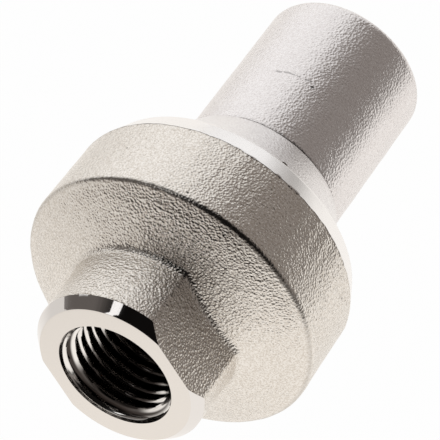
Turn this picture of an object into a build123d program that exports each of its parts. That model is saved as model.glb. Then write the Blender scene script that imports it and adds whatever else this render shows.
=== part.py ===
"""Inline pressure regulator with two G 1/4 female ports, held in a pipe run.

The flow axis is X. The inlet face lies at x = 0 and the outlet face at the
far end. Lengths are in millimetres and angles in degrees. Every place along
the axis is worked out from the inlet face onwards, piece after piece.
"""

import os
from math import cos, radians, sin, tan

from build123d import *

# Threaded ports, the same at both ends
port_major_dia = 13.157
port_depth = 11.0
port_mouth_dia = 13.4
port_relief = 0.5

# Neck, collar and threaded spigot of the inlet housing
neck_dia = 18.9
neck_end_dia = 18.6
neck_end_round = 1.5
collar_step = 0.4
collar_length = 6.4
collar_slope = 29.0
shoulder_height = 0.6
shoulder_length = 0.8
spigot_dia = 26.0
spigot_length = 3.8
spigot_chamfer = 0.5

# Drum and boss of the outlet housing
drum_dia = 34.1
drum_draft = 1.9
drum_front_round = 1.2
drum_front_wall = 1.4
drum_rim_drop = 1.25
drum_rim_length = 2.8
front_cone_angle = 25.0
boss_dia = 20.0
boss_face_dia = 18.0
boss_band_length = 1.25
boss_root_round = 1.0
across_flats = 17.0
flats_roll = 34.8
flat_edge_round = 0.7
outlet_wall = 1.7
outlet_passage_dia = 9.0

# Vent that lets the spring chamber breathe
vent_dia = 1.0
vent_roll = 60.8
vent_setback = 0.6
vent_filter_depth = 0.4
vent_filter_length = 1.2

# Strainer and its snap ring, just behind the inlet thread
seat_bore_dia = 11.0
snap_ring_setback = 0.3
snap_ring_thickness = 0.5
snap_ring_depth = 0.4
snap_ring_width = 1.0
snap_ring_opening = 50.0
strainer_thickness = 0.3
strainer_rim_width = 0.9
strainer_hole_dia = 0.8
strainer_pitch = 1.35

# Valve seat: a soft pad in a threaded carrier
lock_ring_length = 0.8
lock_ring_opening_dia = 9.3
lock_slot_width = 1.2
carrier_length = 2.0
carrier_port_dia = 1.2
carrier_port_count = 8
carrier_key_width = 4.0
carrier_key_depth = 0.9
cup_dia = 6.6
cup_depth = 0.9
pad_dia = 5.6
pad_length = 1.3
pad_screw_dia = 1.6
pad_screw_head_dia = 2.6
pad_screw_sink = 0.2
pad_screw_head_height = 0.5

# Stem seal and guide in the inlet housing
valve_travel = 1.2
valve_chamber = 0.6
retainer_length = 1.2
retainer_hole_dia = 1.0
retainer_hole_count = 2
stem_seal_section = 1.5
stem_backup_length = 0.7
stem_bush_length = 2.2
gland_wall = 0.8
stem_passage_gap = 0.35

# Hollow stem
stem_dia = 6.0
stem_bore_dia = 3.8
nozzle_edge_width = 0.4
nozzle_length = 1.2
stem_flange_dia = 10.0
stem_flange_length = 1.0
stem_ring_thickness = 0.6
stem_ring_width = 1.1
stem_ring_depth = 0.5
stem_ring_opening = 60.0
stem_joint_section = 1.3

# Piston head
piston_bore_dia = 24.0
piston_length = 4.9
piston_hub_dia = 13.2
piston_face_length = 2.2
piston_seal_section = 1.5
piston_seal_setback = 0.7
guide_ring_length = 1.2
guide_ring_section = 0.85
guide_ring_setback = 0.5
stop_ring_dia = 17.2
stop_ring_width = 1.4
stop_ring_height = 0.4
stop_slot_width = 2.0
stop_slot_count = 4

# Main spring and the shims that set its load
spring_outer_dia = 18.4
spring_wire_dia = 1.9
spring_turns = 4.0
spring_pocket_depth = 3.56
shim_thickness = 0.4
shim_count = 2
shim_width = 2.1

# Clearances
press_gap = 0.02
end_gap = 0.02
seal_gap = 0.05
guide_gap = 0.03
head_gap = 0.08
spring_gap = 0.2
bore_lead_in = 0.5
piston_end_gap = 0.3
overcut = 1.0

# Radii that follow from the diameters
port_r = port_major_dia / 2
seat_bore_r = seat_bore_dia / 2
stem_r = stem_dia / 2
piston_bore_r = piston_bore_dia / 2
spigot_r = spigot_dia / 2
drum_r = drum_dia / 2
boss_r = boss_dia / 2
gland_r = stem_r + stem_seal_section + 2 * seal_gap
pocket_r = spring_outer_dia / 2 + spring_gap
stem_passage_r = stem_r + stem_passage_gap

# Places along the flow axis, from the inlet face to the outlet face
snap_ring_x = port_depth + snap_ring_setback
strainer_x = snap_ring_x + snap_ring_thickness + end_gap
lock_ring_x = strainer_x + strainer_thickness + end_gap
carrier_x = lock_ring_x + lock_ring_length + end_gap
cup_x = carrier_x + carrier_length
pad_x = cup_x + end_gap
pad_face_x = pad_x + pad_length
nozzle_x = pad_face_x + valve_travel + end_gap
retainer_x = nozzle_x + valve_chamber
seal_x = retainer_x + retainer_length + seal_gap
backup_x = seal_x + stem_seal_section + seal_gap
bush_x = backup_x + stem_backup_length + end_gap
gland_end_x = bush_x + stem_bush_length + end_gap
pocket_x = gland_end_x + gland_wall
drum_rear_x = pocket_x + spring_pocket_depth
shoulder_x = drum_rear_x - shoulder_length
collar_x = shoulder_x - collar_length
spigot_end_x = drum_rear_x + spigot_length
piston_rear_x = spigot_end_x + piston_end_gap + valve_travel
piston_face_x = piston_rear_x + piston_length
chamber_front_x = piston_face_x + stop_ring_height
outlet_port_x = chamber_front_x + outlet_wall
outlet_face_x = outlet_port_x + port_relief + port_depth

# Outlines that follow from the values above
collar_r = neck_dia / 2 + collar_step
collar_base_r = collar_r + collar_length * tan(radians(collar_slope))
shoulder_r = collar_base_r + shoulder_height
vent_tilt = 90 - collar_slope
vent_exit_r = collar_base_r - vent_setback * tan(radians(collar_slope))
vent_run = (vent_exit_r - pocket_r) / sin(radians(vent_tilt))
drum_front_x = chamber_front_x + drum_front_wall
drum_rim_x = drum_rear_x + drum_rim_length
drum_rear_r = drum_r - (drum_front_x - drum_rim_x) * tan(radians(drum_draft))
cone_tip_x = drum_front_x + (drum_r - port_r) * tan(radians(front_cone_angle))
recess_floor_x = piston_face_x - piston_face_length


def turned(*corners, rounds=None):
    """Solid of revolution about the flow axis; each corner is (x, radius)."""
    if rounds is None:
        outline = Polyline(*corners, close=True)
    else:
        outline = FilletPolyline(*corners, radius=rounds, close=True)
    return revolve(make_face(outline), axis=Axis.X)


def ring(start, length, inner_r, outer_r):
    """Washer or tube about the flow axis."""
    end = start + length
    return turned((start, inner_r), (start, outer_r), (end, outer_r), (end, inner_r))


def rod(start, length, radius):
    """Solid cylinder about the flow axis."""
    end = start + length
    return turned((start, 0), (start, radius), (end, radius), (end, 0))


def around(shape, count, radius):
    """Copies of a shape, evenly spaced on a circle round the flow axis."""
    step = 360 / count
    return [Rot(i * step, 0, 0) * Pos(0, radius, 0) * shape for i in range(count)]


def torus_seal(start, section, inner_r):
    """O-ring whose inner edge stands at inner_r, its middle half a section in."""
    middle = Pos(start + section / 2, inner_r + section / 2)
    return revolve(middle * Circle(section / 2), axis=Axis.X)


def open_ring(start, length, inner_r, outer_r, opening):
    """Snap ring: a flat ring with a gap of the given angle."""
    reach = 2 * outer_r
    gap = Polyline(
        (0, 0),
        (reach, -reach * tan(radians(opening / 2))),
        (reach, reach * tan(radians(opening / 2))),
        close=True,
    )
    wedge = extrude(Plane.YZ.offset(start - overcut) * make_face(gap), length + 2 * overcut)
    return ring(start, length, inner_r, outer_r) - wedge


def port_mouth(face_x, inward):
    """Cone that opens a port at its face; inward is 1 or -1 along the axis."""
    depth = (port_mouth_dia - port_major_dia) / 2
    return turned(
        (face_x - inward * overcut, 0),
        (face_x - inward * overcut, port_mouth_dia / 2),
        (face_x, port_mouth_dia / 2),
        (face_x + inward * depth, port_r),
        (face_x + inward * depth, 0),
    )


# Inlet housing: neck with the inlet port, flared collar and threaded spigot
def vent_rod(start, length, radius):
    """Rod square to the collar's slope, measured inwards from its surface."""
    place = Pos(shoulder_x - vent_setback, vent_exit_r, 0) * Rot(0, 0, -vent_tilt)
    return Rot(vent_roll, 0, 0) * place * rod(start, length, radius)


def inlet_housing():
    """Turned and cast body, bored from both ends."""
    outside = turned(
        (0, 0),
        (0, neck_end_dia / 2),
        (collar_x, neck_dia / 2),
        (collar_x, collar_r),
        (shoulder_x, collar_base_r),
        (shoulder_x, shoulder_r),
        (drum_rear_x, shoulder_r),
        (drum_rear_x, spigot_r - press_gap),
        (spigot_end_x - spigot_chamfer, spigot_r - press_gap),
        (spigot_end_x, spigot_r - press_gap - spigot_chamfer),
        (spigot_end_x, 0),
        rounds=[0, neck_end_round, collar_step, collar_step / 2, 0, collar_step / 2, 0, 0, 0, 0, 0],
    )
    bore = turned(
        (-overcut, 0),
        (-overcut, port_r),
        (port_depth, port_r),
        (port_depth, seat_bore_r),
        (snap_ring_x - end_gap, seat_bore_r),
        (snap_ring_x - end_gap, seat_bore_r + snap_ring_depth),
        (strainer_x, seat_bore_r + snap_ring_depth),
        (strainer_x, seat_bore_r),
        (seal_x - seal_gap, seat_bore_r),
        (seal_x - seal_gap, gland_r),
        (gland_end_x, gland_r),
        (gland_end_x, stem_passage_r),
        (pocket_x, stem_passage_r),
        (pocket_x, pocket_r),
        (spigot_end_x + overcut, pocket_r),
        (spigot_end_x + overcut, 0),
    )
    vent = vent_rod(-overcut, overcut + vent_run + overcut, vent_dia / 2)
    return outside - bore - port_mouth(0, 1) - vent


def vent_filter():
    """Sintered plug pressed into the vent, just under the surface."""
    return vent_rod(vent_filter_depth, vent_filter_length, vent_dia / 2 - press_gap)


# Outlet housing: boss with two wrench flats, cone front and drum
def boss():
    """Round boss with two flats, its front edge turned to a bright cone."""
    section = Circle(boss_r) & Rectangle(across_flats, boss_dia)
    section = fillet(section.vertices(), flat_edge_round)
    start = drum_front_x
    blank = extrude(Plane.YZ.offset(start) * section, outlet_face_x - start)
    turned_front = turned(
        (start, 0),
        (start, boss_r + overcut),
        (outlet_face_x - boss_band_length, boss_r + overcut),
        (outlet_face_x - boss_band_length, boss_r),
        (outlet_face_x, boss_face_dia / 2),
        (outlet_face_x, 0),
    )
    return Rot(flats_roll, 0, 0) * (blank & turned_front)


def drum():
    """Cast drum with a bright rim at its rear and a shallow cone in front."""
    return turned(
        (drum_rear_x, 0),
        (drum_rear_x, drum_rear_r - drum_rim_drop),
        (drum_rim_x, drum_rear_r),
        (drum_front_x, drum_r),
        (cone_tip_x, port_r),
        (cone_tip_x, 0),
        rounds=[0, collar_step, 0, drum_front_round, 0, 0],
    )


def outlet_housing():
    """Drum and boss in one casting, bored for the piston and the port."""
    body = drum() + boss()
    root_edges = body.edges().filter_by(at_boss_root)
    body = fillet(root_edges, boss_root_round)
    lead_x = spigot_end_x + bore_lead_in
    bore = turned(
        (drum_rear_x - overcut, 0),
        (drum_rear_x - overcut, spigot_r),
        (spigot_end_x, spigot_r),
        (spigot_end_x, piston_bore_r + bore_lead_in / 2),
        (lead_x, piston_bore_r),
        (chamber_front_x, piston_bore_r),
        (chamber_front_x, outlet_passage_dia / 2),
        (outlet_port_x, outlet_passage_dia / 2),
        (outlet_port_x, port_r),
        (outlet_face_x + overcut, port_r),
        (outlet_face_x + overcut, 0),
    )
    return body - bore - port_mouth(outlet_face_x, -1)


def at_boss_root(edge):
    """True for the edges where the boss meets the cone of the drum."""
    middle = edge.position_at(0.5)
    radius = (middle.Y**2 + middle.Z**2) ** 0.5
    near_cone = drum_front_x + press_gap < middle.X < cone_tip_x
    return near_cone and radius < boss_r + press_gap


# Inlet strainer and the ring that keeps it
def strainer_snap_ring():
    """Flat snap ring in its groove behind the inlet thread."""
    outer_r = seat_bore_r + snap_ring_depth - press_gap
    inner_r = seat_bore_r - snap_ring_width
    return open_ring(snap_ring_x, snap_ring_thickness, inner_r, outer_r, snap_ring_opening)


def inlet_strainer():
    """Etched disc with a triangular grid of holes inside a plain rim."""
    outer_r = seat_bore_r - press_gap
    hole_limit = outer_r - strainer_rim_width - strainer_hole_dia / 2
    rows = int(hole_limit / strainer_pitch) + 1
    row_height = strainer_pitch * sin(radians(60))
    holes = []
    for row in range(-rows, rows + 1):
        shift = (row % 2) * strainer_pitch * cos(radians(60))
        for column in range(-rows - 1, rows + 1):
            across = column * strainer_pitch + shift
            upward = row * row_height
            if (across**2 + upward**2) ** 0.5 <= hole_limit:
                start = strainer_x - overcut
                length = strainer_thickness + 2 * overcut
                hole = rod(start, length, strainer_hole_dia / 2)
                holes.append(Pos(0, across, upward) * hole)
    return rod(strainer_x, strainer_thickness, outer_r) - holes


# Valve seat
def seat_lock_ring():
    """Thin threaded ring with a cross slot, which locks the seat carrier."""
    outer_r = seat_bore_r - press_gap
    body = ring(lock_ring_x, lock_ring_length, lock_ring_opening_dia / 2, outer_r)
    middle = Pos(lock_ring_x, 0, 0)
    slot = middle * Box(lock_ring_length, 2 * seat_bore_dia, lock_slot_width)
    return body - slot


def seat_carrier():
    """Threaded disc with flow holes, a key socket and a cup for the pad."""
    outer_r = seat_bore_r - press_gap
    body = turned(
        (carrier_x, 0),
        (carrier_x, outer_r),
        (cup_x, outer_r),
        (cup_x, cup_dia / 2),
        (cup_x + cup_depth, cup_dia / 2),
        (cup_x + cup_depth, pad_dia / 2 + seal_gap),
        (cup_x, pad_dia / 2 + seal_gap),
        (cup_x, 0),
    )
    run = carrier_length + 2 * overcut
    port_circle_r = (cup_dia + lock_ring_opening_dia) / 4
    ports = around(rod(carrier_x - overcut, run, carrier_port_dia / 2), carrier_port_count, port_circle_r)
    key = RegularPolygon(carrier_key_width / 2, 6, major_radius=False)
    socket = extrude(Plane.YZ.offset(carrier_x - overcut) * key, carrier_key_depth + overcut)
    screw_hole = rod(carrier_x, carrier_length, pad_screw_dia / 2 + press_gap)
    return body - ports - socket - screw_hole


def pad_screw_profile(gap):
    """Countersunk screw through the pad, grown by a gap for its hole."""
    head_x = pad_face_x - pad_screw_sink
    neck_x = head_x - pad_screw_head_height
    start = carrier_x + carrier_key_depth
    shank_r = pad_screw_dia / 2 + gap
    return turned(
        (start, 0),
        (start, shank_r),
        (neck_x, shank_r),
        (head_x, pad_screw_head_dia / 2 + gap),
        (head_x, 0),
    )


def seat_pad():
    """Soft disc that the nozzle closes on."""
    sink_x = pad_face_x - pad_screw_sink
    sink = rod(sink_x, pad_screw_sink + overcut, pad_screw_head_dia / 2 + seal_gap)
    disc = rod(pad_x, pad_length, pad_dia / 2)
    return disc - pad_screw_profile(seal_gap) - sink


# Stem gland
def gland_retainer():
    """Threaded ring that holds the stem seal, with two key holes."""
    outer_r = seat_bore_r - press_gap
    body = ring(retainer_x, retainer_length, stem_passage_r, outer_r)
    run = retainer_length + 2 * overcut
    key_hole = rod(retainer_x - overcut, run, retainer_hole_dia / 2)
    return body - around(key_hole, retainer_hole_count, (stem_passage_r + outer_r) / 2)


def stem_guide_bush():
    """Plain bearing bush for the stem."""
    return ring(bush_x, stem_bush_length, stem_r + guide_gap, gland_r - press_gap)


def stem_backup_ring():
    """Flat ring that keeps the stem seal from being squeezed into the gap."""
    return ring(backup_x, stem_backup_length, stem_r + seal_gap, gland_r - seal_gap)


# Hollow stem, its retaining ring and its joint seal
stem_seat_x = piston_face_x - stem_ring_thickness - 2 * end_gap
stem_flange_x = stem_seat_x - stem_flange_length


def piston_stem():
    """Tube with a sharp nozzle edge at the valve and a flange at the head."""
    bore_r = stem_bore_dia / 2
    return turned(
        (nozzle_x, bore_r),
        (nozzle_x, bore_r + nozzle_edge_width),
        (nozzle_x + nozzle_length, stem_r),
        (stem_flange_x, stem_r),
        (stem_flange_x, stem_flange_dia / 2),
        (stem_seat_x, stem_flange_dia / 2),
        (stem_seat_x, bore_r),
    )


def stem_snap_ring():
    """Snap ring that keeps the stem's flange in the head."""
    outer_r = stem_flange_dia / 2 + stem_ring_depth - press_gap
    inner_r = outer_r - stem_ring_width
    start = stem_seat_x + end_gap
    return open_ring(start, stem_ring_thickness - 2 * end_gap, inner_r, outer_r, stem_ring_opening)


# Piston head with its seal and guide ring
piston_r = piston_bore_r - head_gap
seal_groove_r = piston_bore_r - piston_seal_section - 2 * seal_gap
seal_groove_end_x = piston_face_x - piston_seal_setback
seal_groove_x = seal_groove_end_x - piston_seal_section - 2 * seal_gap
guide_groove_x = piston_rear_x + guide_ring_setback
guide_groove_end_x = guide_groove_x + guide_ring_length + 2 * end_gap
guide_groove_r = piston_bore_r - guide_gap - guide_ring_section - press_gap
joint_seal_x = stem_flange_x - stem_joint_section - seal_gap


def piston_head():
    """Disc with a spring recess, ring grooves and a seat for the stem."""
    body = turned(
        (piston_rear_x, stem_r + press_gap),
        (piston_rear_x, piston_hub_dia / 2),
        (recess_floor_x, piston_hub_dia / 2),
        (recess_floor_x, pocket_r),
        (piston_rear_x, pocket_r),
        (piston_rear_x, piston_r),
        (guide_groove_x, piston_r),
        (guide_groove_x, guide_groove_r),
        (guide_groove_end_x, guide_groove_r),
        (guide_groove_end_x, piston_r),
        (seal_groove_x, piston_r),
        (seal_groove_x, seal_groove_r),
        (seal_groove_end_x, seal_groove_r),
        (seal_groove_end_x, piston_r),
        (piston_face_x, piston_r),
        (piston_face_x, stop_ring_dia / 2),
        (chamber_front_x, stop_ring_dia / 2),
        (chamber_front_x, stop_ring_dia / 2 - stop_ring_width),
        (piston_face_x, stop_ring_dia / 2 - stop_ring_width),
        (piston_face_x, stem_flange_dia / 2 + press_gap),
        (stem_seat_x + stem_ring_thickness, stem_flange_dia / 2 + press_gap),
        (stem_seat_x + stem_ring_thickness, stem_flange_dia / 2 + stem_ring_depth),
        (stem_seat_x, stem_flange_dia / 2 + stem_ring_depth),
        (stem_seat_x, stem_flange_dia / 2 + press_gap),
        (stem_flange_x - end_gap, stem_flange_dia / 2 + press_gap),
        (stem_flange_x - end_gap, stem_r + stem_joint_section + 2 * seal_gap),
        (joint_seal_x - seal_gap, stem_r + stem_joint_section + 2 * seal_gap),
        (joint_seal_x - seal_gap, stem_r + press_gap),
    )
    reach = stop_ring_dia / 2
    slot_shape = Box(2 * stop_ring_height, reach, stop_slot_width)
    slot = Pos(chamber_front_x, 0, 0) * slot_shape
    return body - around(slot, stop_slot_count, reach)


def piston_guide_ring():
    """Low friction strip that centres the head in the drum's bore."""
    outer_r = piston_bore_r - guide_gap
    start = guide_groove_x + end_gap
    return ring(start, guide_ring_length, outer_r - guide_ring_section, outer_r)


# Main spring and its shims
shim_x = pocket_x + end_gap
spring_x = shim_x + shim_count * (shim_thickness + end_gap)
spring_end_x = recess_floor_x - seal_gap


def spring_shims():
    """Thin washers under the spring; their number sets the outlet pressure."""
    outer_r = pocket_r - seal_gap
    step = shim_thickness + end_gap
    washers = [
        ring(shim_x + i * step, shim_thickness, outer_r - shim_width, outer_r)
        for i in range(shim_count)
    ]
    return Compound(children=washers)


def main_spring():
    """Coil spring with ground ends."""
    length = spring_end_x - spring_x
    coil_r = (spring_outer_dia - spring_wire_dia) / 2
    path = Helix(pitch=length / spring_turns, height=length, radius=coil_r)
    wire = sweep(Plane(path @ 0, z_dir=path % 0) * Circle(spring_wire_dia / 2), path=path, is_frenet=True)
    lying = Pos(spring_x, 0, 0) * Rot(0, 90, 0) * wire
    return lying & rod(spring_x, length, pocket_r)


parts = {
    "inlet_housing": inlet_housing(),
    "outlet_housing": outlet_housing(),
    "vent_filter": vent_filter(),
    "strainer_snap_ring": strainer_snap_ring(),
    "inlet_strainer": inlet_strainer(),
    "seat_lock_ring": seat_lock_ring(),
    "seat_carrier": seat_carrier(),
    "seat_pad": seat_pad(),
    "seat_pad_screw": pad_screw_profile(0),
    "gland_retainer": gland_retainer(),
    "stem_o_ring": torus_seal(seal_x, stem_seal_section, stem_r + seal_gap),
    "stem_backup_ring": stem_backup_ring(),
    "stem_guide_bush": stem_guide_bush(),
    "spring_shims": spring_shims(),
    "main_spring": main_spring(),
    "piston_head": piston_head(),
    "piston_stem": piston_stem(),
    "stem_snap_ring": stem_snap_ring(),
    "stem_joint_o_ring": torus_seal(joint_seal_x, stem_joint_section, stem_r + seal_gap),
    "piston_o_ring": torus_seal(
        seal_groove_x + seal_gap, piston_seal_section, seal_groove_r + seal_gap
    ),
    "piston_guide_ring": piston_guide_ring(),
}

os.makedirs("parts", exist_ok=True)
for name, shape in parts.items():
    export_step(shape, f"parts/{name}.step")
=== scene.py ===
import bpy
import numpy as np
from mathutils import Matrix, Vector


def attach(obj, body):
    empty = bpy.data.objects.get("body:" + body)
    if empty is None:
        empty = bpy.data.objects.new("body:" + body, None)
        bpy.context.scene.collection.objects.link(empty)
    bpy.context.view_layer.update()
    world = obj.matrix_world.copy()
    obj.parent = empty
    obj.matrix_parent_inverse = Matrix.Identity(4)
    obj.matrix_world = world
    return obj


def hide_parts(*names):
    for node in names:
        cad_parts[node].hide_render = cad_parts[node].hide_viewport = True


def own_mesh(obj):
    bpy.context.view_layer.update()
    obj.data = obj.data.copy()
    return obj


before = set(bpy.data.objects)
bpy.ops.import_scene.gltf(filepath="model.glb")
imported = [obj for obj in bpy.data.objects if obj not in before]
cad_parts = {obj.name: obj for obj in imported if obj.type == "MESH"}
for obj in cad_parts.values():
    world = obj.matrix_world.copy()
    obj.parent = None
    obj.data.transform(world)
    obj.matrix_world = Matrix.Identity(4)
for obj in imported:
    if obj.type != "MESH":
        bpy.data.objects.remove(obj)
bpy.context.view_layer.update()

mm = 0.001

# Inlet housing. An investment casting in stainless steel, blasted all over: a
# plain round neck that flares into a smooth collar. Its end, its bores and the
# G 1/4 thread are turned, and its spigot screws into the drum from behind.
neck_columns = 300
port_radius = 6.5785
port_mouth = 6.7
mouth_bevel = 0.12
lead_in = 0.5
thread_pitch = 1.337
thread_depth = 0.856
inlet_thread = 11.0
collar_radius = 13.398
collar_foot_x = 27.4
shoulder_x = 28.2
cast, turned, collar, tapped = range(4)
neck_corners = [
    # x, radius, round, spans to the next corner, cast share, finish
    (0.0, port_mouth, 0.0, 6, 0.0, turned),
    (0.0, 9.3, 1.5, 60, 1.0, cast),
    (20.56, 9.45, 0.0, 2, 0.0, collar),
    (20.70, 9.32, 0.0, 2, 0.0, collar),
    (20.84, 9.45, 0.0, 2, 0.0, collar),
    (21.0, 9.45, 0.0, 3, 0.0, collar),
    (21.0, 9.85, 0.12, 24, 0.15, collar),
    (collar_foot_x, collar_radius, 0.0, 3, 0.0, collar),
    (collar_foot_x, 14.0, 0.2, 3, 0.0, turned),
    (shoulder_x, 14.0, 0.0, 4, 0.0, turned),
    (shoulder_x, 12.98, 0.0, 8, 0.0, turned),
    (31.5, 12.98, 0.0, 2, 0.0, turned),
    (32.0, 12.48, 0.0, 6, 0.0, turned),
    (32.0, 9.4, 0.0, 10, 0.0, turned),
    (24.64, 9.4, 0.0, 10, 0.0, turned),
    (24.64, 3.35, 0.0, 2, 0.0, turned),
    (23.84, 3.35, 0.0, 2, 0.0, turned),
    (23.84, 4.6, 0.0, 6, 0.0, turned),
    (19.3, 4.6, 0.0, 2, 0.0, turned),
    (19.3, 5.5, 0.0, 10, 0.0, turned),
    (11.82, 5.5, 0.0, 2, 0.0, turned),
    (11.82, 5.9, 0.0, 2, 0.0, turned),
    (11.28, 5.9, 0.0, 2, 0.0, turned),
    (11.28, 5.5, 0.0, 2, 0.0, turned),
    (inlet_thread, 5.5, 0.0, 4, 0.0, turned),
    (inlet_thread, port_radius, 0.0, 98, 0.0, tapped),
    (mouth_bevel, port_radius, 0.0, 2, 0.0, turned),
]


def laid_round(table, angles):
    """The columns of a table of corners, with x and radius at every angle."""
    lines = [[0 * angles + x, 0 * angles + radius] for x, radius, *_ in table]
    rounds, spans, shares, finishes = zip(*[corner[2:] for corner in table])
    return np.array(lines).transpose(0, 2, 1), np.array(rounds), spans, shares, finishes


def meridians(corners, rounds, spans, shares, finishes):
    """Lines from end to end of a body, one at each angle round its axis.

    corners holds x and radius for every corner and angle. A rounded corner is
    the circle arc that touches both legs, written as the blend of its two
    ends and the corner with weights (1-t)^2, 2t(1-t)c and t^2, where c is the
    cosine of half the turn. An arc takes at most 0.45 of the shorter leg.
    Returns the points, and for each row its cast share and its finish.
    """
    to_last = np.roll(corners, 1, axis=0) - corners
    to_next = np.roll(corners, -1, axis=0) - corners
    last_length = np.linalg.norm(to_last, axis=2)
    next_length = np.linalg.norm(to_next, axis=2)
    to_last = to_last / last_length[..., None]
    to_next = to_next / next_length[..., None]
    half_angle = np.arccos(np.clip((to_last * to_next).sum(axis=2), -1, 1)) / 2
    reach = np.minimum(rounds[:, None] / np.tan(half_angle), 0.45 * last_length)
    reach = np.minimum(reach, 0.45 * next_length)
    arc_start = corners + to_last * reach[..., None]
    arc_end = corners + to_next * reach[..., None]
    rows, row_shares, row_finishes = [], [], []
    for i in range(len(corners)):
        steps = 0 if rounds[i] == 0 else max(2, int(round(6 * rounds[i] ** 0.5)) + 1)
        t = np.linspace(0, 1, steps + 1)[:, None, None]
        weight = np.sin(half_angle[i])[None, :, None]
        first, middle, last = (1 - t) ** 2, 2 * t * (1 - t) * weight, t**2
        arc = first * arc_start[i] + middle * corners[i] + last * arc_end[i]
        rows.append(arc / (first + middle + last))
        row_shares.append(shares[i - 1] + (shares[i] - shares[i - 1]) * t[:, 0, 0])
        row_finishes.append(np.where(t[:, 0, 0] < 0.5, finishes[i - 1], finishes[i]))
        row_finishes[-1][-1] = finishes[i]
        t = np.linspace(0, 1, spans[i] + 1)[1:-1, None, None]
        rows.append(arc_end[i] + (arc_start[(i + 1) % len(corners)] - arc_end[i]) * t)
        row_shares.append(np.full(len(t), shares[i]))
        row_finishes.append(np.full(len(t), finishes[i]))
    return np.concatenate(rows), np.concatenate(row_shares), np.concatenate(row_finishes)


lattice_side = 64
lattice_shift = 1000.0


def soft_lumps(points, size, seed):
    """Smooth noise from 0 to 1: random values on a cubic lattice of that size,
    blended between the eight lattice points round each point by 3t^2 - 2t^3."""
    lattice = np.random.default_rng(seed).random((lattice_side,) * 3)
    place = points / size + lattice_shift
    cell = np.floor(place).astype(int)
    t = place - cell
    t = t * t * (3 - 2 * t)
    total = np.zeros(points.shape[:-1])
    for corner in np.ndindex(2, 2, 2):
        side = np.array(corner)
        weight = np.prod(np.where(side == 1, t, 1 - t), axis=-1)
        at = (cell + side) % lattice_side
        total += weight * lattice[at[..., 0], at[..., 1], at[..., 2]]
    return total


def female_thread(x, angle, mouth_x, inward, depth):
    """Height of the thread's ridge above its root, for a right-hand thread.

    The ridge is a triangle wave along x that shifts by one pitch in a full
    turn, stretched by 1.35 and rolled over at its tops, as a tapped thread has
    it. A countersink at 45 degrees cuts it behind the plain lead-in at the
    mouth, and the tap's taper leaves it lower over its last millimetre.
    """
    turn = x / thread_pitch - angle / (2 * np.pi)
    wave = 1.35 * np.abs(2 * (turn - np.floor(turn)) - 1) - 0.175
    ridge = np.clip(wave, 0, 1)
    ridge = ridge * ridge * (3 - 2 * ridge) * 0.35 + ridge * 0.65
    into = (x - mouth_x) * inward
    countersunk = np.minimum(thread_depth * ridge, np.maximum(into - lead_in, 0))
    return np.minimum(countersunk, np.maximum(0.8 * (depth - into), 0))


def grid_faces(rows, columns, wrap_rows, wrap_columns):
    """Quads of a grid of points, which may close on itself either way."""
    index = np.arange(rows * columns).reshape(rows, columns)
    if wrap_rows:
        index = np.vstack([index, index[:1]])
    if wrap_columns:
        index = np.hstack([index, index[:, :1]])
    corners = [index[:-1, :-1], index[1:, :-1], index[1:, 1:], index[:-1, 1:]]
    return np.stack(corners, axis=-1).reshape(-1, 4)


def placed(name, data):
    """New object in the scene, at the origin."""
    thing = bpy.data.objects.new(name, data)
    bpy.context.scene.collection.objects.link(thing)
    return thing


def turn_outward(mesh, points, faces):
    """Flips a closed mesh whose signed volume, a sixth of the sum of a . (b x c)
    over its faces' first three corners, is negative."""
    a, b, c = points[faces[:, :3]].transpose(1, 0, 2)
    if np.einsum("ij,ij->i", a, np.cross(b, c)).sum() < 0:
        mesh.flip_normals()


lump_sizes = (1.7, 0.7)
crease_angle = np.radians(42)


def housing_skin(name, rows, row_shares, row_finishes, angles, lump_depth, seed, finishes):
    """Closed skin of a housing: each row of x and radius is laid round the
    axis, and cast rows sink along the surface's normal by two sizes of lumps."""
    x, radius = rows[..., 0], rows[..., 1]
    points = np.stack([x, radius * np.cos(angles), radius * np.sin(angles)], axis=-1)
    along = np.roll(points, -1, axis=0) - np.roll(points, 1, axis=0)
    around = np.roll(points, -1, axis=1) - np.roll(points, 1, axis=1)
    normal = np.cross(around, along)
    normal /= np.linalg.norm(normal, axis=-1)[..., None] + 1e-12
    large, small = [soft_lumps(points, size, seed + i) for i, size in enumerate(lump_sizes)]
    lumps = 0.65 * large + 0.35 * small
    outward = normal[..., 1] * points[..., 1] + normal[..., 2] * points[..., 2]
    inward_sign = -1.0 if outward[row_shares > 0].mean() > 0 else 1.0
    points += inward_sign * normal * (lump_depth * lumps * row_shares[:, None])[..., None]
    count, columns = x.shape
    points = points.reshape(-1, 3)
    faces = grid_faces(count, columns, True, True)
    mesh = bpy.data.meshes.new(name)
    mesh.from_pydata((points * mm).tolist(), [], faces.tolist())
    for finish in finishes:
        mesh.materials.append(finish)
    face_finishes = np.repeat(row_finishes, columns).astype(np.int32)
    mesh.polygons.foreach_set("material_index", face_finishes)
    mesh.polygons.foreach_set("use_smooth", np.ones(count * columns, dtype=bool))
    mesh.update()
    mesh.set_sharp_from_angle(angle=crease_angle)
    turn_outward(mesh, points, faces)
    return placed(name, mesh)


def plug(tree, value, socket):
    """Puts a number, a colour or another node's result into a socket."""
    if isinstance(value, bpy.types.NodeSocket):
        tree.links.new(value, socket)
    else:
        socket.default_value = value


def computed(tree, operation, *values):
    """Result of one step of arithmetic."""
    node = tree.nodes.new("ShaderNodeMath")
    node.operation = operation
    for socket, value in zip(node.inputs, values):
        plug(tree, value, socket)
    return node.outputs["Value"]


def graded(tree, value, start, end, low=0.0, high=1.0, run="SMOOTHSTEP"):
    """Run from low at start to high at end, eased at both ends unless LINEAR."""
    node = tree.nodes.new("ShaderNodeMapRange")
    node.interpolation_type = run
    limits = {"From Min": start, "From Max": end, "To Min": low, "To Max": high}
    for socket, limit in limits.items():
        node.inputs[socket].default_value = limit
    plug(tree, value, node.inputs["Value"])
    return node.outputs["Result"]


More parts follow.
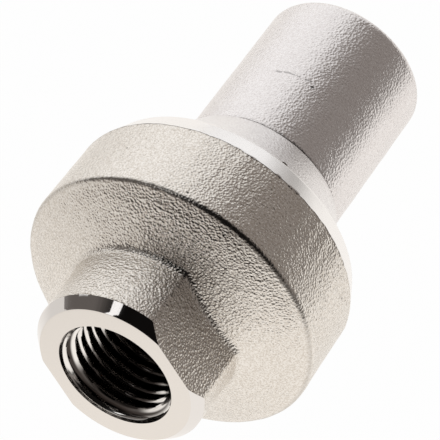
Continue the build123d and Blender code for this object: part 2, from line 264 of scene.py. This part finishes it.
def noise(tree, place, scale, detail=2.0, rough=0.5):
    """Smooth noise, with about that many features along a unit of the place."""
    node = tree.nodes.new("ShaderNodeTexNoise")
    node.inputs["Scale"].default_value = scale
    node.inputs["Detail"].default_value = detail
    node.inputs["Roughness"].default_value = rough
    plug(tree, place, node.inputs["Vector"])
    return node.outputs["Fac"]


def coordinates(tree, kind="Object"):
    """A point's coordinates, together and as x, y and z."""
    place = tree.nodes.new("ShaderNodeTexCoord").outputs[kind]
    split = tree.nodes.new("ShaderNodeSeparateXYZ")
    plug(tree, place, split.inputs["Vector"])
    return place, split.outputs["X"], split.outputs["Y"], split.outputs["Z"]


def from_axis(tree, y, z):
    """Distance from the x axis, and the direction away from it."""
    flat = tree.nodes.new("ShaderNodeCombineXYZ")
    plug(tree, y, flat.inputs["Y"])
    plug(tree, z, flat.inputs["Z"])
    results = []
    for operation, result in (("LENGTH", "Value"), ("NORMALIZE", "Vector")):
        node = tree.nodes.new("ShaderNodeVectorMath")
        node.operation = operation
        plug(tree, flat.outputs["Vector"], node.inputs[0])
        results.append(node.outputs[result])
    return results


def reach_along(tree, vector, direction):
    """Dot product of a vector and a fixed direction."""
    node = tree.nodes.new("ShaderNodeVectorMath")
    node.operation = "DOT_PRODUCT"
    plug(tree, vector, node.inputs[0])
    plug(tree, direction, node.inputs[1])
    return node.outputs["Value"]


def mixed(tree, share, first, second):
    """Colour between the first and the second, by the second's share."""
    node = tree.nodes.new("ShaderNodeMix")
    node.data_type = "RGBA"
    plug(tree, share, node.inputs["Factor"])
    plug(tree, first, node.inputs["A"])
    plug(tree, second, node.inputs["B"])
    return node.outputs["Result"]


def bumped(tree, shader, height, depth, strength=1.0):
    """Lifts a shader's surface by the height times the depth."""
    bump = tree.nodes.new("ShaderNodeBump")
    bump.inputs["Distance"].default_value = depth
    plug(tree, strength, bump.inputs["Strength"])
    plug(tree, height, bump.inputs["Height"])
    plug(tree, bump.outputs["Normal"], shader.inputs["Normal"])


def glossed(tree, shader, value, low, high):
    """Roughness that runs evenly from low to high with a value from 0 to 1."""
    plug(tree, graded(tree, value, 0.0, 1.0, low, high, "LINEAR"), shader.inputs["Roughness"])


def metal_finish(name, colour, roughness):
    """New metal finish: its material, its node tree and its shader."""
    material = bpy.data.materials.new(name)
    material.use_nodes = True
    shader = material.node_tree.nodes["Principled BSDF"]
    shader.inputs["Base Color"].default_value = (*colour, 1)
    shader.inputs["Metallic"].default_value = 1.0
    shader.inputs["Roughness"].default_value = roughness
    return material, material.node_tree, shader


pit_spacing = 2.2
flaw_half_width = 0.15


def blasted_steel(
    name, light, dark, grain, depth, roughness, pits, flaw=None, hole=None, worn_shaded_edge=None
):
    """Blasted casting: the bump is rough noise plus the dents of the shot, which
    are distances to scattered points. The skin is mottled between light and
    dark, and pits is the share of cells with a small pit, sunk into the bump and
    painted near black as shade. A flaw is a broken cold shut round the body at x,
    from one y to another on the upper side: a groove in the bump with a painted
    line of shade. A hole is one deep pit at x, y, z with its radius, sunk into
    the bump and painted dark as shade. The worn edge lies at that x: it is rubbed
    smooth, and a faint dark line of shade is painted along it. Lengths are in
    millimetres."""
    material, tree, shader = metal_finish(name, light, roughness)
    place, x, y, z = coordinates(tree)
    dents = tree.nodes.new("ShaderNodeTexVoronoi")
    dents.feature = "SMOOTH_F1"
    dents.inputs["Scale"].default_value = 1 / (1.25 * grain * mm)
    dents.inputs["Smoothness"].default_value = 0.25
    plug(tree, place, dents.inputs["Vector"])
    fine = computed(tree, "MULTIPLY", noise(tree, place, 1 / (grain * mm)), 0.5)
    skin = computed(tree, "MULTIPLY_ADD", dents.outputs["Distance"], 0.85, fine)

    cells = tree.nodes.new("ShaderNodeTexVoronoi")
    cells.inputs["Scale"].default_value = 1 / (pit_spacing * mm)
    plug(tree, place, cells.inputs["Vector"])
    chance = tree.nodes.new("ShaderNodeSeparateColor")
    plug(tree, cells.outputs["Color"], chance.inputs["Color"])
    spared = computed(tree, "LESS_THAN", chance.outputs["Red"], 1 - pits)
    beside_pit = graded(tree, cells.outputs["Distance"], 0.03, 0.085)
    unpitted_unshaded = computed(tree, "MAXIMUM", beside_pit, spared)
    if flaw:
        flaw_x, flaw_left, flaw_right = flaw
        wander = noise(tree, place, 1 / (2.2 * mm), 1.0)
        flaw_line = computed(tree, "MULTIPLY_ADD", wander, 1.5 * mm, (flaw_x - 0.75) * mm)
        off_line = computed(tree, "ABSOLUTE", computed(tree, "SUBTRACT", x, flaw_line))
        beside = graded(tree, off_line, 0.02 * mm, flaw_half_width * mm)
        gaps = graded(tree, noise(tree, place, 1 / (0.7 * mm), 1.0), 0.56, 0.46)
        lower = graded(tree, z, 1.0 * mm, 0.0)
        past_left = graded(tree, y, (flaw_left + 0.6) * mm, flaw_left * mm)
        past_right = graded(tree, y, (flaw_right - 0.2) * mm, flaw_right * mm)
        for unbroken in (gaps, lower, past_left, past_right):
            beside = computed(tree, "MAXIMUM", beside, unbroken)
        unpitted_unshaded = computed(tree, "MULTIPLY", unpitted_unshaded, computed(tree, "MAXIMUM", beside, 0.55))
    if hole:
        *hole_middle, hole_radius = hole
        away = tree.nodes.new("ShaderNodeVectorMath")
        away.operation = "DISTANCE"
        away.inputs[1].default_value = [c * mm for c in hole_middle]
        plug(tree, place, away.inputs[0])
        torn = noise(tree, place, 1 / (0.5 * mm), 1.0)
        torn = computed(tree, "MULTIPLY_ADD", torn, 0.7 * mm, -0.35 * mm)
        torn = computed(tree, "ADD", away.outputs["Value"], torn)
        beside = graded(tree, torn, hole_radius * 0.5 * mm, hole_radius * 1.2 * mm)
        unpitted_unshaded = computed(tree, "MULTIPLY", unpitted_unshaded, beside)
    height = computed(tree, "MULTIPLY_ADD", unpitted_unshaded, 0.75, 0.25)
    height = computed(tree, "MULTIPLY", skin, height)
    strength = 1.0
    if worn_shaded_edge:
        off_edge = computed(tree, "ABSOLUTE", computed(tree, "SUBTRACT", x, worn_shaded_edge * mm))
        rough_again = graded(tree, off_edge, 0.1 * mm, 0.6 * mm)
        strength = computed(tree, "MULTIPLY_ADD", rough_again, 0.55, 0.45)
        # A faint painted line of shade along the worn edge, which darkens the colour only.
        clear_of_edge_shade = graded(tree, off_edge, 0.0, 0.32 * mm)
        clear_of_edge_shade = computed(tree, "MULTIPLY_ADD", clear_of_edge_shade, 0.22, 0.78)
        unpitted_unshaded = computed(tree, "MULTIPLY", unpitted_unshaded, clear_of_edge_shade)
    bumped(tree, shader, height, depth * mm, strength)

    mottle = graded(tree, noise(tree, place, 1 / (0.9 * grain * mm), 3.0, 0.6), 0.38, 0.60)
    mottled = mixed(tree, mottle, (*dark, 1), (*light, 1))
    # Painted shade: the pits, the cold shut, the hole and the worn edge are darkened towards a
    # near-black share of the dark tone.
    painted_shade = (*[c * 0.15 for c in dark], 1)
    plug(tree, mixed(tree, unpitted_unshaded, painted_shade, mottled), shader.inputs["Base Color"])
    cloud = noise(tree, place, 1 / (7 * grain * mm))
    glossed(tree, shader, cloud, roughness - 0.05, roughness + 0.05)
    return material


def turned_metal(name, colour, roughness, line, depth, chatter=0.0):
    """Turned metal: fine tool lines at steady steps along the axis and outwards,
    drawn by noise over x plus the distance from the axis. Chatter adds slow
    waves round the axis, which show as streaks."""
    material, tree, shader = metal_finish(name, colour, roughness)
    place, x, y, z = coordinates(tree)
    out, heading = from_axis(tree, y, z)
    run = computed(tree, "MULTIPLY_ADD", x, 0.83, out)
    lines = tree.nodes.new("ShaderNodeTexNoise")
    lines.noise_dimensions = "1D"
    lines.inputs["Scale"].default_value = 1.0
    lines.inputs["Detail"].default_value = 3.0
    plug(tree, computed(tree, "MULTIPLY", run, 1 / (line * mm)), lines.inputs["W"])
    cut = computed(tree, "MULTIPLY", lines.outputs["Fac"], depth)
    waves = noise(tree, heading, scale=9.0)
    bumped(tree, shader, computed(tree, "MULTIPLY_ADD", waves, chatter, cut), mm)
    smear = noise(tree, place, scale=600)
    glossed(tree, shader, smear, roughness * 0.7, roughness * 1.35)
    return material


part_middle = 26.0
# The side of the bores on which the thread's crests are painted dark as shade.
shaded_side = (0.0, -0.292, -0.956)


def tapped_steel(name, crest, root, roughness):
    """Tapped thread with painted shade: the roots are painted near black as shade
    in the grooves, and the colour runs from root to crest with the distance
    from the axis. On the bore's lower side, which lies in shade, the crests are
    painted dark too. Near both mouths the whole thread keeps the crest colour."""
    material, tree, shader = metal_finish(name, crest, roughness)
    place, x, y, z = coordinates(tree)
    out, heading = from_axis(tree, y, z)
    crests = graded(tree, out, 6.26 * mm, 6.0 * mm)
    # Painted shade: dark roots, and dark crests on the bore's shaded lower side.
    low = reach_along(tree, heading, shaded_side)
    lit_crests = computed(tree, "MULTIPLY", crests, graded(tree, low, 0.58, 0.82, 1.0, 0.06))
    off_middle = computed(tree, "ABSOLUTE", computed(tree, "SUBTRACT", x, part_middle * mm))
    mouth = graded(tree, off_middle, 25.0 * mm, 25.3 * mm)
    unshaded = computed(tree, "MAXIMUM", lit_crests, mouth)
    plug(tree, mixed(tree, unshaded, (*root, 1), (*crest, 1)), shader.inputs["Base Color"])
    smear = noise(tree, place, scale=900, detail=3.0)
    glossed(tree, shader, smear, roughness * 0.6, roughness * 1.5)
    return material


def grained(name, colour, metal, roughness, grain, depth, shade):
    """Plain finish with an even grain: noise of that size lifts the surface by
    the depth, darkens its low places to a share of the colour and varies the gloss."""
    material, tree, shader = metal_finish(name, colour, roughness)
    shader.inputs["Metallic"].default_value = metal
    grains = noise(tree, coordinates(tree)[0], 1 / (grain * mm))
    bumped(tree, shader, grains, depth * mm)
    low = (*[c * shade for c in colour], 1)
    plug(tree, mixed(tree, grains, low, (*colour, 1)), shader.inputs["Base Color"])
    glossed(tree, shader, grains, roughness * 1.3, roughness * 0.7)
    return material


# The neck's cold shut and its pit are painted dark as shade.
neck_cast = blasted_steel(
    "neck_blasted_casting", (0.90, 0.87, 0.865), (0.79, 0.75, 0.74), 0.22, 0.054, 0.28, 0.06,
    flaw=(12.4, -2.6, 2.6), hole=(12.8, 2.62, 9.06, 0.24),
)
collar_smooth = blasted_steel(
    "collar_fine_casting", (0.915, 0.895, 0.89), (0.83, 0.80, 0.795), 0.24, 0.032, 0.30, 0.04
)
turned_steel = turned_metal("turned_steel", (0.84, 0.80, 0.76), 0.20, 0.05, 0.004)
# Crest colour, then the near-black root colour, which is painted shade.
thread_steel = tapped_steel("tapped_thread_steel", (0.92, 0.89, 0.86), (0.06, 0.05, 0.045), 0.12)

angles = np.linspace(0, 2 * np.pi, neck_columns, endpoint=False)
neck_rows, neck_shares, neck_zones = meridians(*laid_round(neck_corners, angles))
ridge = female_thread(neck_rows[..., 0], angles, 0.0, 1, inlet_thread)
neck_rows[..., 1] -= np.where((neck_zones == tapped)[:, None], ridge, 0)
inlet_housing = housing_skin(
    "inlet_housing_skin", neck_rows, neck_shares, neck_zones, angles, 0.05, 11,
    [neck_cast, turned_steel, collar_smooth, thread_steel],
)

# The vent is drilled through the collar at right angles to its slope, and its
# mouth is drawn out up the slope, so that water runs off. The tool is a closed
# body of ovals round the vent's axis; it cuts the skin once and for all.
vent_roll = np.radians(60.8)
vent_tilt = np.radians(61.0)
vent_x, vent_to_foot = 26.8, 0.6
vent_r = collar_radius - vent_to_foot * np.tan(np.radians(29.0))
drill_run = np.array([-0.6, 0.0, 0.3, 4.6])
drill_middle = np.array([-0.38, -0.38, 0.0, 0.0])
drill_reach = np.array([0.88, 0.88, 0.5, 0.5])
drill_half_width = 0.5
drill_sides = 40
drill_angles = np.linspace(0, 2 * np.pi, drill_sides, endpoint=False)
oval, inward = np.meshgrid(drill_angles, drill_run, indexing="ij")
down_slope = drill_middle + drill_reach * np.cos(oval)
drill_x = vent_x + inward * np.cos(vent_tilt) + down_slope * np.sin(vent_tilt)
drill_r = vent_r - inward * np.sin(vent_tilt) + down_slope * np.cos(vent_tilt)
drill_side = drill_half_width * np.sin(oval)
drill_y = drill_r * np.cos(vent_roll) - drill_side * np.sin(vent_roll)
drill_z = drill_r * np.sin(vent_roll) + drill_side * np.cos(vent_roll)
drill_points = np.stack([drill_x, drill_y, drill_z], axis=-1).reshape(-1, 3) * mm
drill_faces = grid_faces(drill_sides, len(drill_run), True, False).tolist()
index = np.arange(drill_sides * len(drill_run)).reshape(drill_sides, len(drill_run))
drill_faces += [index[::-1, 0].tolist(), index[:, -1].tolist()]
drill_mesh = bpy.data.meshes.new("vent_drill")
drill_mesh.from_pydata(drill_points.tolist(), [], drill_faces)
# The drilled bore's wall is painted near black, as shade inside the vent.
shaded_vent_bore = grained("drilled_vent_bore", (0.16, 0.13, 0.11), 1.0, 0.45, 0.15, 0.01, 0.5)
drill_mesh.materials.append(shaded_vent_bore)
drill = placed("vent_drill", drill_mesh)
cut = inlet_housing.modifiers.new("vent", "BOOLEAN")
cut.operation = "DIFFERENCE"
cut.solver = "EXACT"
cut.object = drill
cut.material_mode = "TRANSFER"
shown = inlet_housing.evaluated_get(bpy.context.evaluated_depsgraph_get())
cut_mesh = bpy.data.meshes.new_from_object(shown)
inlet_housing.modifiers.clear()
inlet_housing.data = cut_mesh
bpy.data.objects.remove(drill)
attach(inlet_housing, "root")
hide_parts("inlet_housing")

# Vent filter. A plug of sintered bronze grains pressed into the vent, just
# below the collar's surface. It lets the spring chamber breathe and keeps
# dust out.


def dress(piece, finish):
    """Gives a CAD piece one finish all over; its shape stays as it is."""
    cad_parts[piece].data.materials.clear()
    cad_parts[piece].data.materials.append(finish)


sintered_bronze = grained("sintered_bronze_grains", (0.42, 0.26, 0.13), 1.0, 0.5, 0.16, 0.06, 0.35)
dress("vent_filter", sintered_bronze)

# Inlet strainer and its snap ring. A thin disc with etched holes lies on a
# step in the inlet bore and stops swarf. A ring of flat spring steel snaps
# into the groove behind it.
etched_steel = grained("etched_sheet_steel", (0.66, 0.64, 0.62), 1.0, 0.34, 0.09, 0.006, 0.8)
spring_sheet = grained("hard_spring_steel", (0.50, 0.49, 0.49), 1.0, 0.28, 0.25, 0.003, 0.7)
dress("inlet_strainer", etched_steel)
dress("strainer_snap_ring", spring_sheet)

# Valve seat. A turned carrier holds a soft pad, kept by a small screw. A lock
# ring screwed into the inlet bore holds the carrier where it was set.
soft_pad = grained("soft_seat_pad", (0.52, 0.33, 0.12), 0.0, 0.36, 0.30, 0.004, 0.75)
dress("seat_carrier", turned_steel)
dress("seat_pad", soft_pad)
dress("seat_pad_screw", turned_steel)
dress("seat_lock_ring", turned_steel)

# Stem gland. A sintered bush guides the stem, an O-ring with a PTFE backup
# ring seals it, and a turned ring pressed in from the spring side keeps both.
seal_rubber = grained("moulded_seal_rubber", (0.018, 0.018, 0.019), 0.0, 0.48, 0.40, 0.004, 0.7)
white_ptfe = grained("white_ptfe", (0.84, 0.84, 0.82), 0.0, 0.42, 0.35, 0.004, 0.94)
dress("stem_guide_bush", sintered_bronze)
dress("stem_o_ring", seal_rubber)
dress("stem_backup_ring", white_ptfe)
dress("gland_retainer", turned_steel)

# Spring shims. Washers punched from thin spring steel, laid under the spring;
# their number sets the outlet pressure.
dress("spring_shims", spring_sheet)

# Main spring. Round wire, cold coiled, with both ends closed and ground flat.
# It stands on the shims and pushes the piston towards the outlet.
spring_low, spring_high = 25.50, 36.15
coil_radius = 8.25
wire_radius = 0.95
coil_turns = 4.5
closed_turns = 0.75
closed_pitch = 1.93
ground_share = 0.45
tip_length = 0.25
tip_loss = 0.35
rings_per_turn = 96
wire_columns = 28
turns = np.linspace(0, coil_turns, int(coil_turns * rings_per_turn) + 1)


def wire_run(turns):
    """Place of the wire's centre along x: its slope is the closed pitch at both
    ends and rises by 3t^2 - 2t^3 over half a turn to the pitch that fills the length."""
    from_end = np.minimum(turns, coil_turns - turns)
    t = np.clip((from_end - closed_turns) / 0.5, 0, 1)
    opened = t * t * (3 - 2 * t)
    step = turns[1] - turns[0]
    closed_run = closed_pitch * turns
    opened_run = np.concatenate([[0], np.cumsum((opened[1:] + opened[:-1]) / 2 * step)])
    room = spring_high - spring_low - 2 * ground_share - closed_run[-1]
    return spring_low + ground_share + closed_run + opened_run * room / opened_run[-1]


spring_x = wire_run(turns)
roll = 2 * np.pi * turns
from_tip = np.minimum(turns, coil_turns - turns) * 2 * np.pi * coil_radius
tip = np.sqrt(1 - tip_loss * (1 - np.clip(from_tip / tip_length, 0, 1)) ** 2)
section = np.linspace(0, 2 * np.pi, wire_columns, endpoint=False)
out, along = np.cos(section), np.sin(section)
wire_r = coil_radius + wire_radius * tip[:, None] * out
wire_x = spring_x[:, None] + wire_radius * tip[:, None] * along
wire_x = np.clip(wire_x, spring_low, spring_high)
wire_y, wire_z = wire_r * np.cos(roll)[:, None], wire_r * np.sin(roll)[:, None]
wire_points = np.stack([wire_x, wire_y, wire_z], axis=-1)
index = np.arange(len(turns) * wire_columns).reshape(len(turns), wire_columns)
right = np.roll(index, -1, axis=1)
wire_faces = np.stack([index[:-1], right[:-1], right[1:], index[1:]], axis=-1)
wire_faces = wire_faces.reshape(-1, 4).tolist()
wire_faces += [index[0, ::-1].tolist(), index[-1].tolist()]
spring_mesh = bpy.data.meshes.new("coil_spring")
spring_mesh.from_pydata((wire_points.reshape(-1, 3) * mm).tolist(), [], wire_faces)
spring_mesh.polygons.foreach_set("use_smooth", np.ones(len(wire_faces), dtype=bool))
spring_mesh.update()
spring_mesh.set_sharp_from_angle(angle=np.radians(30))
turn_outward(spring_mesh, wire_points.reshape(-1, 3), np.array(wire_faces[:-2]))
corner = np.zeros(len(spring_mesh.loops), dtype=np.int32)
spring_mesh.loops.foreach_get("vertex_index", corner)
wire_map = spring_mesh.uv_layers.new(name="wire")
run = (corner // wire_columns) / rings_per_turn
round_wire = np.abs((corner % wire_columns) / wire_columns - 0.5)
wire_map.data.foreach_set("uv", np.stack([run, round_wire], axis=-1).ravel().astype(np.float32))

drawn_wire, tree, shader = metal_finish("drawn_spring_wire", (0.58, 0.57, 0.57), 0.24)
stretch = tree.nodes.new("ShaderNodeMapping")
stretch.inputs["Scale"].default_value = (9.0, 60.0, 1.0)
plug(tree, tree.nodes.new("ShaderNodeTexCoord").outputs["UV"], stretch.inputs["Vector"])
streaks = noise(tree, stretch.outputs["Vector"], scale=1.0, detail=3.0)
bumped(tree, shader, streaks, 0.004 * mm)
glossed(tree, shader, streaks, 0.16, 0.36)
spring_mesh.materials.append(drawn_wire)
main_spring = placed("coil_spring", spring_mesh)
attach(main_spring, "root")
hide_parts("main_spring")
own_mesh(main_spring)

# Piston. A turned stem carries a brass head, held by a snap ring with an
# O-ring between them. The head slides on a PTFE ring and an O-ring. All of it
# moves together, and the spring moves it back.
turned_brass = turned_metal("turned_brass_head", (0.86, 0.63, 0.31), 0.20, 0.05, 0.004)
dress("piston_stem", turned_steel)
dress("stem_joint_o_ring", seal_rubber)
dress("piston_head", turned_brass)
dress("stem_snap_ring", spring_sheet)
dress("piston_guide_ring", white_ptfe)
dress("piston_o_ring", seal_rubber)

# Outlet housing. The second casting: drum, shallow cone and boss in one piece,
# with a coarser and warmer skin. Its rear rim, the cone edge of the boss, its
# face and the port are turned bright. Two flats, 17 mm apart, take a spanner.
drum_columns = 360
outlet_face_x = 52.0
outlet_thread = 11.5
drum_front_x = 40.2
drum_radius = 17.05
front_slope = np.tan(np.radians(25.0))
boss_radius = 10.0
face_radius = 9.0
band_length = 1.25
least_band, least_edge = 0.03, 0.02
half_flats = 8.5
flats_roll = np.radians(34.8)
flat_edge_round = 0.7


def boss_outline(angle):
    """Radius of the boss at each angle: the smaller of the round and of the
    flat, which is half the flats' distance over the cosine from its normal.
    They meet in a soft minimum: half of their sum less the root of their
    squared difference plus a little."""
    from_flat = np.abs(np.cos(angle - flats_roll))
    flat = half_flats / np.maximum(from_flat, 0.2)
    soft = (0.15 * flat_edge_round) ** 2
    return 0.5 * (flat + boss_radius - np.sqrt((flat - boss_radius) ** 2 + soft))


angles = np.linspace(0, 2 * np.pi, drum_columns, endpoint=False)
side = np.minimum(boss_outline(angles), boss_radius)
root_x = drum_front_x + (drum_radius - side) * front_slope
band_x = outlet_face_x - np.maximum(band_length * (side - face_radius), least_band)
edge_radius = np.minimum(face_radius, side - least_edge)
rim_middle_x, rim_middle_radius, rim_slope = 31.0, 16.745, 0.4464
rim_depth = 0.32
rim_circle = 17
rim_round = np.stack([0 * angles, np.cos(angles), np.sin(angles)], axis=-1) * rim_circle
ragged = 0.6 * soft_lumps(rim_round, 1.1, 5) + 0.4 * soft_lumps(rim_round, 0.4, 6)
rim_x = rim_middle_x + rim_depth * (ragged - 0.5)
rim_radius = rim_middle_radius + rim_slope * (rim_x - rim_middle_x)
face, rim = 2, 4
drum_corners = [
    # x, radius, round, spans to the next corner, cast share, finish
    (shoulder_x, 13.0, 0.0, 6, 0.0, turned),
    (shoulder_x, 15.495, 0.4, 10, 0.0, rim),
    (rim_x, rim_radius, 0.1, 30, 1.0, cast),
    (drum_front_x, drum_radius, 0.7, 14, 1.0, cast),
    (41.36, 14.8, 25.0, 12, 1.0, cast),
    (root_x, side, 1.0, 26, 0.8, cast),
    (band_x, side, 0.05, 5, 0.0, turned),
    (outlet_face_x, edge_radius, 0.05, 8, 0.0, face),
    (outlet_face_x, port_mouth, 0.0, 2, 0.0, tapped),
    (outlet_face_x - lead_in, port_radius, 0.0, 104, 0.0, tapped),
    (outlet_face_x - outlet_thread, port_radius, 0.0, 6, 0.0, turned),
    (outlet_face_x - outlet_thread, 4.5, 0.0, 3, 0.0, turned),
    (38.8, 4.5, 0.0, 10, 0.0, turned),
    (38.8, 12.0, 0.0, 8, 0.0, turned),
    (32.5, 12.0, 0.0, 2, 0.0, turned),
    (32.0, 12.25, 0.0, 2, 0.0, turned),
    (32.0, 13.0, 0.0, 8, 0.0, turned),
]
drum_rows, drum_shares, drum_zones = meridians(*laid_round(drum_corners, angles))
ridge = female_thread(drum_rows[..., 0], angles, outlet_face_x, -1, outlet_thread)
drum_rows[..., 1] -= np.where((drum_zones == tapped)[:, None], ridge, 0)
# The drum's front edge is rubbed smooth and gets a faint painted line of shade.
drum_cast = blasted_steel(
    "drum_blasted_casting", (0.90, 0.86, 0.81), (0.71, 0.655, 0.59), 0.22, 0.078, 0.23, 0.10,
    worn_shaded_edge=drum_front_x,
)
bright_edge = turned_metal("bright_turned_edge", (0.84, 0.81, 0.79), 0.06, 0.04, 0.0012, 0.012)
bright_face = turned_metal("turned_face", (0.83, 0.785, 0.74), 0.18, 0.05, 0.002)
# The rim is the same turned steel painted lighter than the rest: a painted highlight that keeps it
# near white.
lit_rim_band = turned_metal("turned_rim", (0.94, 0.92, 0.91), 0.17, 0.05, 0.0015)
outlet_housing = housing_skin(
    "outlet_housing_skin", drum_rows, drum_shares, drum_zones, angles, 0.07, 23,
    [drum_cast, bright_edge, bright_face, thread_steel, lit_rim_band],
)
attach(outlet_housing, "root")
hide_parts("outlet_housing")

# Floor, light and view. A plain white table with a white room behind it. The
# camera looks down on the part from the front right, past a dark room.
floor_z = -17.05 * mm
floor_half = 4.0
floor_lines = 9
grid = np.linspace(-floor_half, floor_half, floor_lines)
gx, gy = np.meshgrid(grid, grid, indexing="ij")
floor_points = np.stack([gx, gy, np.full_like(gx, floor_z)], axis=-1).reshape(-1, 3)
floor_faces = grid_faces(floor_lines, floor_lines, False, False)
floor_mesh = bpy.data.meshes.new("floor")
floor_mesh.from_pydata(floor_points.tolist(), [], floor_faces.tolist())
floor = placed("floor", floor_mesh)


def glowing(tree, colour, strength=1.0):
    """Light given off in one colour."""
    node = tree.nodes.new("ShaderNodeEmission")
    node.inputs["Color"].default_value = colour
    plug(tree, strength, node.inputs["Strength"])
    return node.outputs["Emission"]


def layered(tree, share, first, second):
    """Shader between the first and the second, by the second's share."""
    node = tree.nodes.new("ShaderNodeMixShader")
    for socket, value in zip(node.inputs, (share, first, second)):
        plug(tree, value, socket)
    return node.outputs["Shader"]


# The camera sees the table white. What the steel mirrors is cream, and falls
# off to the far end, to the back and to the front.
floor_paint = bpy.data.materials.new("white_table")
floor_paint.use_nodes = True
tree = floor_paint.node_tree
tree.nodes.clear()
place = coordinates(tree)[0]
table_end = graded(tree, reach_along(tree, place, (0.35, 1.0, 0.0)), 0.055, 0.17, 1.0, 0.15)
table_back = graded(tree, reach_along(tree, place, (-0.5, 0.87, 0.0)), 0.04, 0.30, 1.0, 0.45)
table_front = graded(tree, reach_along(tree, place, (0.6, -0.8, 0.0)), 0.035, 0.09, 1.0, 0.78)
table_light = computed(tree, "MULTIPLY", table_end, table_back)
table_light = computed(tree, "MULTIPLY", table_light, table_front)
paint = tree.nodes.new("ShaderNodeBsdfDiffuse")
paint.inputs["Color"].default_value = (0.90, 0.89, 0.87, 1)
cream = glowing(tree, (1.0, 0.972, 0.935, 1), table_light)
white = glowing(tree, (1, 1, 1, 1))
ray = tree.nodes.new("ShaderNodeLightPath").outputs
mirrored = computed(tree, "MAXIMUM", ray["Is Glossy Ray"], ray["Is Transmission Ray"])
mirrored = computed(tree, "MULTIPLY", mirrored, 0.95)
seen = computed(tree, "MULTIPLY", ray["Is Camera Ray"], 0.985)
table = layered(tree, mirrored, paint.outputs["BSDF"], cream)
table = layered(tree, seen, table, white)
plug(tree, table, tree.nodes.new("ShaderNodeOutputMaterial").inputs["Surface"])
floor_mesh.materials.append(floor_paint)

# Place and axes of the camera, from a pinhole fit to the photo's outlines.
camera_place = Vector((0.390319, 0.195130, 0.434185))
camera_right = Vector((-0.475148, 0.879906, 0.0))
camera_up = Vector((-0.637764, -0.344392, 0.688950))
camera_back = Vector((0.606211, 0.327353, 0.724809))

# The room has pale walls to the left and at the back, which darken upwards, and
# is dark behind the camera, with a faint glow low in front.
world = bpy.data.worlds.new("room")
bpy.context.scene.world = world
world.use_nodes = True
tree = world.node_tree
tree.nodes.clear()
direction, x, y, z = coordinates(tree, "Generated")
wall_left = graded(tree, computed(tree, "MULTIPLY_ADD", z, 0.1, y), 0.26, -0.06)
wall_back = graded(tree, x, 0.30, -0.25)
wall = computed(tree, "MULTIPLY", wall_left, wall_back)
wall_up = graded(tree, z, 0.05, 0.45)
wall_paint = mixed(tree, wall_up, (0.97, 0.966, 0.962, 1), (0.86, 0.856, 0.852, 1))
ring = graded(tree, reach_along(tree, direction, camera_back), 0.82, 0.40, 0.005, 0.255)
shaded = computed(tree, "MULTIPLY", ring, graded(tree, y, 0.1, -0.5, 1.0, 0.5))
glow_low = graded(tree, z, 0.22, -0.02, 0.0, 0.34)
glow_front = graded(tree, x, 0.2, 0.85)
shade = computed(tree, "MULTIPLY_ADD", glow_low, glow_front, shaded)
dark = mixed(tree, shade, (0, 0, 0, 1), (1.0, 0.90, 0.84, 1))
room = mixed(tree, wall, dark, wall_paint)
ray = tree.nodes.new("ShaderNodeLightPath").outputs
light = tree.nodes.new("ShaderNodeBackground")
plug(tree, mixed(tree, ray["Is Camera Ray"], room, (1, 1, 1, 1)), light.inputs["Color"])
out = tree.nodes.new("ShaderNodeOutputWorld")
plug(tree, light.outputs["Background"], out.inputs["Surface"])

middle = Vector((part_middle, 0, 0)) * mm


def softbox(name, toward, distance, width, height, radiance):
    """Area lamp that faces the part; its power is radiance times pi times its area."""
    lamp = bpy.data.lights.new(name, "AREA")
    lamp.shape = "RECTANGLE"
    lamp.size = width
    lamp.size_y = height
    lamp.energy = radiance * np.pi * width * height
    stand = placed(name, lamp)
    direction = Vector(toward).normalized()
    stand.location = middle + direction * distance
    stand.rotation_euler = direction.to_track_quat("Z", "Y").to_euler()


softbox("key_softbox", (-0.62, -0.62, 0.48), 0.9, 0.8, 0.8, 0.12)
softbox("strip_softbox", (0.59, -0.34, 0.73), 0.9, 0.12, 0.5, 1.1)

# The same fit gave the focal length, but hardly tells one long lens from another.
photo_width = 440
focal_pixels = 5604
view = bpy.data.cameras.new("photo_view")
view.sensor_width = 36.0
view.lens = focal_pixels / photo_width * view.sensor_width
view.clip_start = 0.02
view.clip_end = 20.0
camera = placed("photo_view", view)
turn = Matrix((camera_right, camera_up, camera_back)).transposed()
camera.matrix_world = Matrix.Translation(camera_place) @ turn.to_4x4()
bpy.context.scene.camera = camera
bpy.context.scene.view_settings.view_transform = "Standard"
